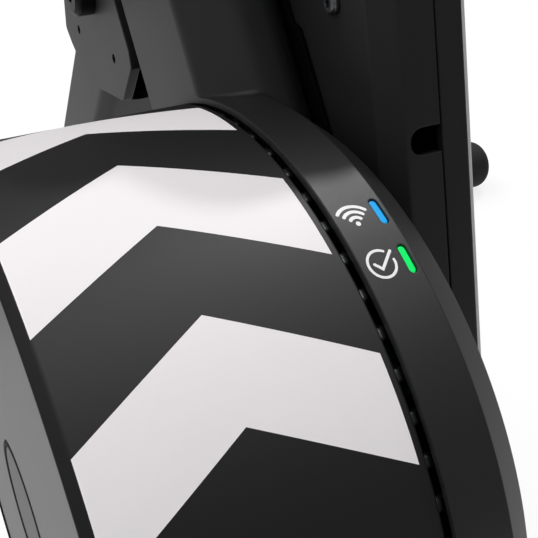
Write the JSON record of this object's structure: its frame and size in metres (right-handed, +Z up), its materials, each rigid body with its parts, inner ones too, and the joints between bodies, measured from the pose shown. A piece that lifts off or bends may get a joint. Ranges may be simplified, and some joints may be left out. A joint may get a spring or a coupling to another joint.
{
  "type": "direct drive bike trainer",
  "caption": "Floor-standing bike trainer: a belt from the rear sprockets drives a low, wide flywheel with a magnetic brake inside, on a leaning casting with a front and a rear cross bar.",
  "frame": {"origin": "on the floor, under the middle of the bounding box; X = 0 is the middle plane of the bike between the dropouts", "axes": "+X is the drive side (the bike's right), +Y is forward and +Z is up"},
  "size_m": [0.77, 0.558, 0.439],
  "materials": {
    "black_casting": "cast alloy with a fine black satin powder coat",
    "black_steel": "steel tube with a black satin powder coat",
    "black_plastic": "moulded, satin",
    "black_rubber": "matt",
    "drum_paint": "turned iron with a satin coat in white and black chevrons",
    "grey_face": "satin mid-grey coat",
    "copper": "bare copper, plain or wound wire",
    "bright_steel": "turned or ground bare steel",
    "dark_steel": "blackened steel",
    "pulley_alloy": "turned bare alloy",
    "board": "green circuit board",
    "blue_lens": "blue light pipe",
    "green_lens": "green light pipe",
    "pale_plate": "black satin face with a pale cut edge",
    "lever_alloy": "black anodised"
  },
  "bodies": {
    "frame": {"main_housing": "black_casting", "rear_leg": "black_steel", "rear_cross_bar": "black_steel", "rear_end_plug_left": "black_plastic", "rear_end_plug_right": "black_plastic", "front_leg": "black_steel", "front_cross_bar": "black_steel", "front_end_cap_left": "black_rubber", "front_end_cap_right": "black_rubber", "leg_bolt_main": "dark_steel", "leg_bolt_upper": "dark_steel", "shaft_bearing_left": "bright_steel", "shaft_bearing_right": "bright_steel", "stator_core": "dark_steel", "stator_coil_1": "copper", "stator_coil_2": "copper", "stator_coil_3": "copper", "stator_coil_4": "copper", "stator_coil_5": "copper", "stator_coil_6": "copper", "control_board": "board", "link_lens": "blue_lens", "ready_lens": "green_lens", "power_inlet": "black_plastic", "inner_belt_cover": "black_plastic", "outer_belt_cover": "black_plastic", "cover_side_plate": "pale_plate", "cover_screw_1": "bright_steel", "cover_screw_2": "bright_steel", "cover_screw_3": "bright_steel", "cover_screw_4": "bright_steel", "drive_belt": "black_rubber", "tensioner_bolt": "bright_steel", "hub_axle": "bright_steel", "axle_cap_left": "bright_steel", "axle_cap_right": "bright_steel", "pulley_bearing_left": "bright_steel", "pulley_bearing_right": "bright_steel", "freehub_bearing_inner": "bright_steel", "freehub_bearing_outer": "bright_steel", "quick_release_skewer": "bright_steel", "quick_release_nut": "bright_steel", "carry_handle": "black_plastic"},
    "flywheel": {"flywheel_drum": "drum_paint", "flywheel_face_plate": "grey_face", "flywheel_centre_cap": "grey_face", "brake_ring": "copper", "flywheel_shaft": "bright_steel", "flywheel_nut": "bright_steel", "small_pulley": "bright_steel"},
    "drive_pulley": {"drive_pulley": "pulley_alloy"},
    "freehub": {"freehub_body": "bright_steel", "cassette": "bright_steel", "cassette_lockring": "dark_steel"},
    "tensioner_arm": {"tensioner_arm": "dark_steel"},
    "tensioner_idler": {"tensioner_idler": "bright_steel"},
    "levelling_foot_left": {"levelling_foot_left": "black_rubber"},
    "levelling_foot_right": {"levelling_foot_right": "black_rubber"},
    "quick_release_lever": {"quick_release_lever": "lever_alloy"}
  },
  "joints": [
    {"name": "flywheel_spin", "type": "hinge", "parent": "frame", "child": "flywheel", "pos_m": [0, -0.125, 0.172], "axis": [1, 0, 0], "continuous": true},
    {"name": "drive_pulley_spin", "type": "hinge", "parent": "frame", "child": "drive_pulley", "pos_m": [0, -0.027, 0.34], "axis": [1, 0, 0], "continuous": true},
    {"name": "freehub_spin", "type": "hinge", "parent": "frame", "child": "freehub", "pos_m": [0, -0.027, 0.34], "axis": [1, 0, 0], "continuous": true},
    {"name": "tensioner_swing", "type": "hinge", "parent": "frame", "child": "tensioner_arm", "pos_m": [0, -0.04989, 0.19685], "axis": [1, 0, 0], "range_deg": [0, 3]},
    {"name": "idler_spin", "type": "hinge", "parent": "tensioner_arm", "child": "tensioner_idler", "pos_m": [0, -0.07963, 0.1732], "axis": [1, 0, 0], "continuous": true},
    {"name": "levelling_foot_left_slide", "type": "slide", "parent": "frame", "child": "levelling_foot_left", "axis": [0, 0, -1], "range_m": [0, 0.008]},
    {"name": "levelling_foot_right_slide", "type": "slide", "parent": "frame", "child": "levelling_foot_right", "axis": [0, 0, -1], "range_m": [0, 0.008]},
    {"name": "quick_release_swing", "type": "hinge", "parent": "frame", "child": "quick_release_lever", "pos_m": [-0.0802, -0.027, 0.34], "axis": [0, -0.5934, -0.8049], "range_deg": [0, 95]}
  ],
  "couplings": [
    {"joint": "drive_pulley_spin", "follows": "flywheel_spin", "ratio": 0.18023},
    {"joint": "idler_spin", "follows": "flywheel_spin", "ratio": -1.9375}
  ]
}
